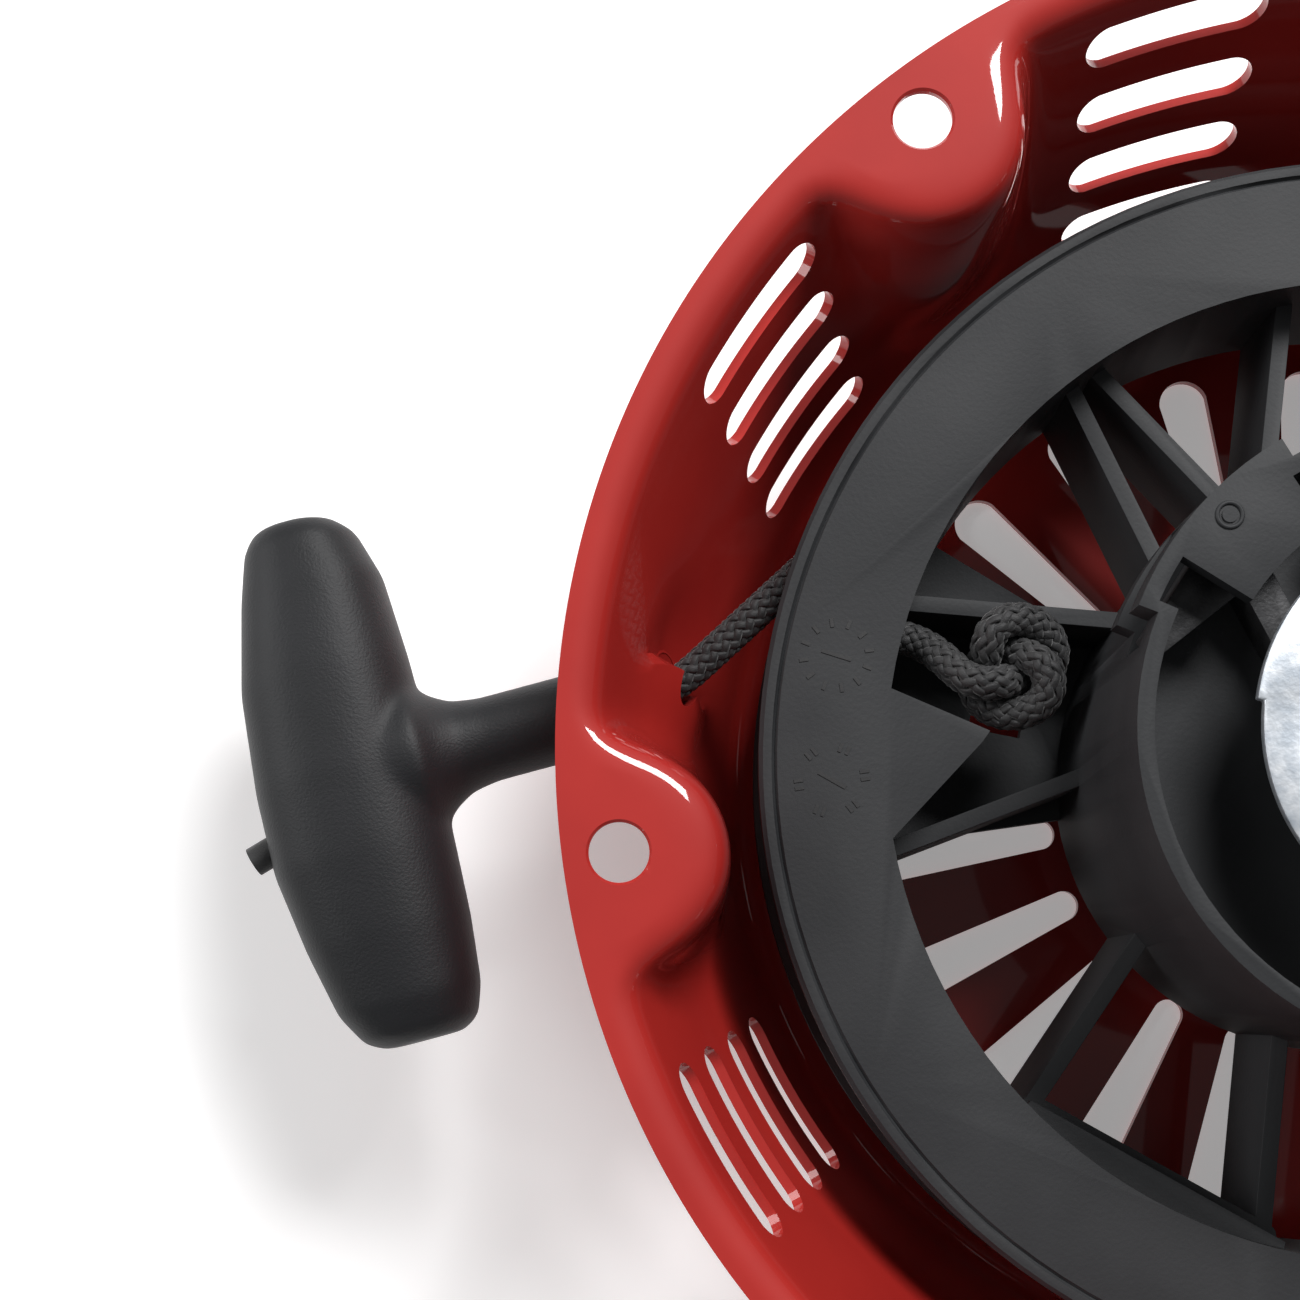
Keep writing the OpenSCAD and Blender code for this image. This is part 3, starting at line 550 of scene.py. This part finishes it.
# %% [markdown]
# ## Rope
# Starter rope is a hollow braid: eight strands wind one way, eight the other, and they pass over
# and under each other. A bump map would go flat at the rope's edge, so the strands are modelled.
# Each is a flattened tube that winds round the rope's path and rises and dips at each crossing.

# %% Braid helper
def smooth_path(points, step):
    """The points as a smooth curve, evenly spaced by step."""
    p = np.array(points, float)
    for _ in range(4):      # each pass cuts the corners of the path once
        cut_q, cut_r = p[:-1] * 0.75 + p[1:] * 0.25, p[:-1] * 0.25 + p[1:] * 0.75
        p = np.concatenate([p[:1], np.stack([cut_q, cut_r], 1).reshape(-1, 3), p[-1:]])
    run = np.concatenate([[0], np.cumsum(np.linalg.norm(np.diff(p, axis=0), axis=1))])
    want = np.linspace(0, run[-1], max(3, int(run[-1] / step)))
    return np.stack([np.interp(want, run, p[:, i]) for i in range(3)], 1), run[-1]


def frames_along(path):
    """Two unit vectors across the path at each point, turned as little as possible."""
    along = np.gradient(path, axis=0)
    along /= np.linalg.norm(along, axis=1)[:, None]
    side = np.zeros_like(along)
    first = np.cross(along[0], (0, 0, 1.0))
    side[0] = first / np.linalg.norm(first)
    for i in range(1, len(path)):
        s = side[i - 1] - along[i] * np.dot(side[i - 1], along[i])
        side[i] = s / np.linalg.norm(s)
    return along, side, np.cross(along, side)


def tube_faces(rings, sides):
    """Faces that join rings of points into a closed tube."""
    faces = [(i * sides + k, i * sides + (k + 1) % sides,
              (i + 1) * sides + (k + 1) % sides, (i + 1) * sides + k)
             for i in range(rings - 1) for k in range(sides)]
    return faces + [tuple(range(sides - 1, -1, -1)),
                    tuple((rings - 1) * sides + k for k in range(sides))]


def tube_mesh(path, side, up, width, height, sides):
    """Points and faces of a tube with an oval section."""
    turn = np.linspace(0, 2 * math.pi, sides, endpoint=False)
    ring = (path[:, None, :] + side[:, None, :] * (width * np.cos(turn))[None, :, None]
            + up[:, None, :] * (height * np.sin(turn))[None, :, None])
    n = len(path)
    return ring.reshape(-1, 3), tube_faces(n, sides)


LAY = 19.0      # length along the rope of one turn of a strand
STRANDS = 8     # each way
STRAND_WIDE, STRAND_THICK, STRAND_DEEP, STRAND_LIFT, CORE_GAP = 0.64, 0.27, 0.46, 0.2, 0.55


def braid(name, points, radius=ROPE_D / 2, step=0.32, sides=6):
    """A braided rope along the points, in millimetres."""
    path, length = smooth_path(points, step)
    along, side, up = frames_along(path)
    travel = np.linspace(0, length, len(path)) / LAY * 2 * math.pi
    all_points, all_faces, base = [], [], 0
    pieces = [(path, side, up, radius - CORE_GAP, radius - CORE_GAP, 12)]
    for way in (1, -1):
        for k in range(STRANDS):
            turn = way * travel + k * 2 * math.pi / STRANDS
            lift = radius - STRAND_DEEP + way * STRAND_LIFT * np.cos(STRANDS * travel)
            out = side * np.cos(turn)[:, None] + up * np.sin(turn)[:, None]
            centre = path + out * lift[:, None]
            run = np.gradient(centre, axis=0)
            run /= np.linalg.norm(run, axis=1)[:, None]
            across = np.cross(out, run)
            across /= np.linalg.norm(across, axis=1)[:, None]
            pieces.append((centre, across, np.cross(run, across), STRAND_WIDE, STRAND_THICK, sides))
    for p in pieces:
        v, f = tube_mesh(*p)
        all_points.append(v)
        all_faces += [tuple(i + base for i in face) for face in f]
        base += len(v)
    mesh = bpy.data.meshes.new(name)
    mesh.from_pydata([tuple(v) for v in np.concatenate(all_points) * MM], [], all_faces)
    rope = bpy.data.objects.new(name, mesh)
    bpy.context.scene.collection.objects.link(rope)
    bpy.ops.object.select_all(action="DESELECT")
    rope.select_set(True)
    bpy.context.view_layer.objects.active = rope
    bpy.ops.object.mode_set(mode="EDIT")
    bpy.ops.mesh.select_all(action="SELECT")
    bpy.ops.mesh.normals_make_consistent(inside=False)
    bpy.ops.object.mode_set(mode="OBJECT")
    bpy.ops.object.shade_smooth()
    mesh.materials.append(rope_fibre)
    print(name, round(length, 1), "mm long,", len(mesh.polygons), "faces")
    return rope


# %% Free rope from the drum to the grip
def polar(radius, degrees, z):
    return np.array((radius * math.cos(math.radians(degrees)), radius * math.sin(math.radians(degrees)), z))


GRIP_REACH = 36.8     # from the mouth to the bar of the grip
GROOVE_TOP, REEL_LOW, GROOVE_DEPTH, REEL_GAP = -22.0, -45.4, 14, 7.5
coil_r = wall_radius(REEL_LOW) - REEL_GAP - GROOVE_DEPTH + ROPE_D / 2 + 0.1
coil_z = GROOVE_TOP - 0.25 - ROPE_D / 2
mouth = np.array(outlet) / MM
way_out = np.array(pull)
leave = OUTLET_ANGLE - math.degrees(math.acos(coil_r / outlet_r))
start = polar(coil_r, leave, coil_z)
lead_points = [start + (mouth - start) * t for t in (0.0, 0.3, 0.6, 0.85, 0.97)]
lead_points += [mouth + way_out * s for s in (3, 9, 20, 34, GRIP_REACH + 11)]
lead = braid("rope_free_run", lead_points)
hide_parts("rope_lead")
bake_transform(lead)

# %% [markdown]
# The knot that holds the rope in the reel is a plain overhand knot, pulled down to a fist of rope.
# It is a trefoil curve: three loops in one closed path, left open where the rope comes in.

# %% Knot in the reel
KNOT_ANGLE, KNOT_R, KNOT_SIZE = 164.0, 54.0, (2.9, 2.4, 2.9)
knot_at = polar(KNOT_R, KNOT_ANGLE, coil_z + 1.0)
knot_points = [polar(72, KNOT_ANGLE, coil_z), polar(66, KNOT_ANGLE, coil_z)]
c, s = math.cos(math.radians(KNOT_ANGLE)), math.sin(math.radians(KNOT_ANGLE))
for t in np.linspace(0.35, 4 * math.pi - 0.9, 44):
    out = 2 + math.cos(1.5 * t)
    local = np.array((out * math.cos(t), out * math.sin(t), math.sin(1.5 * t))) * KNOT_SIZE
    knot_points.append(knot_at + (local[0] * c - local[1] * s, local[0] * s + local[1] * c, local[2]))
knot = braid("rope_reel_knot", knot_points)
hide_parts("reel_knot")
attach(knot, "reel")

# %% [markdown]
# ## Small marks and fittings
# A mould leaves its own marks: two date dials on the reel's face, each a ring of marks round an
# arrow, and a round pin end on each ratchet seat. The dials are raised by about a tenth of a
# millimetre and the pin ends by about three tenths, so both are modelled and catch the light.
# Outside the bell a short pressed collar stands round the rope.

# %% Date dials on the reel
def join_and_ride(pieces, name, material, node, body):
    bpy.ops.object.select_all(action="DESELECT")
    for piece in pieces:
        piece.select_set(True)
    bpy.context.view_layer.objects.active = pieces[0]
    if len(pieces) > 1:
        bpy.ops.object.join()
    joined = bpy.context.object
    joined.name = name
    bpy.ops.object.transform_apply(location=True, rotation=True, scale=True)
    joined.data.materials.clear()
    joined.data.materials.append(material)
    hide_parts(node)
    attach(joined, body)
    print(name, len(joined.data.polygons), "faces")
    return joined


REEL_TOP, MARK_RISE = -19.0, 0.12


def mark(centre, turn, length, width):
    """One raised bar on the reel's face."""
    place = (centre[0] * MM, centre[1] * MM, (REEL_TOP + MARK_RISE / 2 - 0.05) * MM)
    bpy.ops.mesh.primitive_cube_add(size=1, location=place, rotation=(0, 0, turn))
    bar = bpy.context.object
    bar.scale = (length * MM, width * MM, (MARK_RISE + 0.1) * MM)
    return bar


marks = []
DIALS = [  # radius, angle, marks round the ring, their offsets, turn of the arrow
    (77.9, 168.6, 12, (0.0,), -18), (77.2, 181.8, 6, (-0.55, 0.55), -30)]
DIAL_R, ARROW_LENGTH, ARROW_WIDTH, BAR_LENGTH, BAR_WIDTH = 4.7, 4.4, 0.55, 1.3, 0.5
for radius, degrees, count, offsets, arrow in DIALS:
    centre = polar(radius, degrees, 0)
    marks.append(mark(centre, math.radians(arrow), ARROW_LENGTH, ARROW_WIDTH))
    for i in range(count):
        a = math.radians(i * 360 / count + 8)
        for offset in offsets:
            spot = centre + (DIAL_R * math.cos(a) - offset * math.sin(a),
                             DIAL_R * math.sin(a) + offset * math.cos(a), 0)
            marks.append(mark(spot, a, BAR_LENGTH, BAR_WIDTH))
join_and_ride(marks, "mould_marks", mould_mark, "reel", "reel")

# %% Pin ends on the ratchet seats
PIN_ANGLES, PIN_R, PIN_TOP = (135.8, 315.8), 39.9, 9.72
pin_marks = []
for turn in PIN_ANGLES:
    place = tuple(polar(PIN_R, turn, PIN_TOP) * MM)
    bpy.ops.mesh.primitive_torus_add(major_radius=1.6 * MM, minor_radius=0.3 * MM, location=place,
                                     major_segments=40, minor_segments=10)
    pin_marks.append(bpy.context.object)
    bpy.ops.mesh.primitive_cylinder_add(vertices=40, radius=1.0 * MM, depth=0.4 * MM, location=place)
    pin_marks.append(bpy.context.object)
join_and_ride(pin_marks, "pin_ends", reel_nylon, "reel", "reel")
bpy.ops.object.shade_smooth_by_angle(angle=math.radians(40))

# %% Collar outside the wall
COLLAR_R, COLLAR_BORE, COLLAR_IN, COLLAR_OUT = 7.2, 5.7, -5.0, 5.5


def along_pull(length, radius, s_mid):
    bpy.ops.object.select_all(action="DESELECT")
    bpy.ops.mesh.primitive_cylinder_add(vertices=72, radius=radius * MM, depth=length * MM)
    tube = bpy.context.object
    tube.matrix_world = (Matrix.Translation(outlet + pull * (s_mid * MM))
                         @ Matrix.Rotation(math.radians(PULL_ANGLE), 4, "Z")
                         @ Matrix.Rotation(math.pi / 2, 4, "Y"))
    return tube


collar = along_pull(COLLAR_OUT - COLLAR_IN, COLLAR_R, (COLLAR_OUT + COLLAR_IN) / 2)
bore = along_pull(40, COLLAR_BORE, 0)
CONE_TOP, CONE_LOW = 4.0, -60.0
LIP_SIDE = 12      # degrees that the collar's foot turns to follow the raised lip
bpy.ops.mesh.primitive_cone_add(vertices=256, radius1=(wall_radius(CONE_LOW) + SHEET / 2) * MM,
                                radius2=(wall_radius(CONE_TOP) + SHEET / 2) * MM,
                                depth=(CONE_TOP - CONE_LOW) * MM,
                                location=(0, 0, (CONE_TOP + CONE_LOW) / 2 * MM))
inside = bpy.context.object
inside.matrix_world = (Matrix.Translation(outlet) @ Matrix.Rotation(math.radians(LIP_SIDE), 4, "Z")
                       @ Matrix.Translation(-outlet) @ inside.matrix_world)
bpy.ops.object.select_all(action="DESELECT")
collar.select_set(True)
bpy.context.view_layer.objects.active = collar
for tool in (bore, inside):
    cut = collar.modifiers.new("cut", "BOOLEAN")
    cut.operation, cut.solver, cut.object = "DIFFERENCE", "EXACT", tool
    bpy.ops.object.modifier_apply(modifier=cut.name)
    bpy.data.objects.remove(tool)
join_and_ride([collar], "rope_collar", red_enamel, "housing", "case")
bpy.ops.object.shade_smooth_by_angle(angle=math.radians(40))

# %% [markdown]
# ## Grip
# The grip is one moulding: a barrel-shaped bar with blunt ends, and a neck that flares into it.
# The bar is lofted by extruding one oval from end to end. The neck is added, both are fused, and
# the joint is smoothed as a mould-maker's fillet would be.

# %% Bar of the grip
STATIONS = [  # along the bar, near side, far side, half thickness
    (38.0, 43.6, 52.6, 6.0), (37.2, 41.4, 54.4, 8.2), (35.0, 39.2, 56.0, 9.6), (28.0, 37.1, 58.2, 10.6),
    (15.0, 36.4, 61.4, 11.6), (0.0, 36.3, 62.8, 12.2), (-12.0, 36.5, 63.0, 12.0), (-24.0, 37.0, 61.2, 11.2),
    (-34.0, 38.0, 59.0, 10.0), (-38.6, 39.6, 56.4, 8.2), (-40.2, 42.0, 53.6, 6.0)]


GRIP_SIDES, OVAL = 48, 0.82      # OVAL under 1 makes the section squarer than an ellipse


def grip_place(s, t, z):
    """A point s along the pull, t along the bar and z up from the rope's mouth, in metres."""
    across = np.array((-pull.y, pull.x, 0))
    return (mouth + way_out * s - across * t + (0, 0, z)) * MM


bpy.ops.object.select_all(action="DESELECT")
bpy.ops.mesh.primitive_circle_add(vertices=GRIP_SIDES, radius=1)
bar = bpy.context.object
bar.name = "grip_moulding"
bpy.ops.object.mode_set(mode="EDIT")
for _ in STATIONS[1:]:
    bpy.ops.mesh.extrude_region_move(TRANSFORM_OT_translate={"value": (0, 0, 1)})
bpy.ops.object.mode_set(mode="OBJECT")
for v in bar.data.vertices:
    t, near, far, thick = STATIONS[int(round(v.co.z))]
    a = math.atan2(v.co.y, v.co.x)
    cs, sn = math.cos(a), math.sin(a)
    s = (near + far) / 2 + (far - near) / 2 * math.copysign(abs(cs) ** OVAL, cs)
    v.co = grip_place(s, t, thick * math.copysign(abs(sn) ** OVAL, sn))
bpy.ops.object.mode_set(mode="EDIT")
bpy.ops.mesh.select_all(action="SELECT")
bpy.ops.mesh.remove_doubles(threshold=0.000001)
bpy.ops.mesh.select_mode(type="VERT")
bpy.ops.mesh.select_non_manifold()
bpy.ops.mesh.edge_face_add()
bpy.ops.mesh.select_all(action="SELECT")
bpy.ops.mesh.normals_make_consistent(inside=False)
bpy.ops.object.mode_set(mode="OBJECT")
print("bar:", len(bar.data.polygons), "faces")

# %% Neck, fused to the bar
NECK = ((5.8, 6.0), (6.6, 6.3), (28, 6.3), (32, 6.9), (35, 8.6), (37.5, 11.2), (44, 11.0))  # reach, radius
turns = np.linspace(0, 2 * math.pi, GRIP_SIDES, endpoint=False)
neck_points = [tuple(grip_place(s, -r * math.cos(a), r * math.sin(a))) for s, r in NECK for a in turns]
neck_mesh = bpy.data.meshes.new("neck")
neck_mesh.from_pydata(neck_points, [], tube_faces(len(NECK), GRIP_SIDES))
neck = bpy.data.objects.new("neck", neck_mesh)
bpy.context.scene.collection.objects.link(neck)
bpy.ops.object.select_all(action="DESELECT")
neck.select_set(True)
bar.select_set(True)
bpy.context.view_layer.objects.active = bar
bpy.ops.object.join()
bpy.ops.object.mode_set(mode="EDIT")
bpy.ops.mesh.select_all(action="SELECT")
bpy.ops.mesh.normals_make_consistent(inside=False)
bpy.ops.object.mode_set(mode="OBJECT")
VOXEL, EASE_PASSES = 0.0007, 14
fuse = bar.modifiers.new("fuse", "REMESH")
fuse.mode = "VOXEL"
fuse.voxel_size = VOXEL
bpy.ops.object.modifier_apply(modifier=fuse.name)
ease = bar.modifiers.new("ease", "SMOOTH")
ease.factor = 0.5
ease.iterations = EASE_PASSES
bpy.ops.object.modifier_apply(modifier=ease.name)
bpy.ops.object.shade_smooth()
bar.data.materials.clear()
bar.data.materials.append(grip_nylon)
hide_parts("grip")
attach(bar, "grip")
print("grip:", len(bar.data.polygons), "faces")
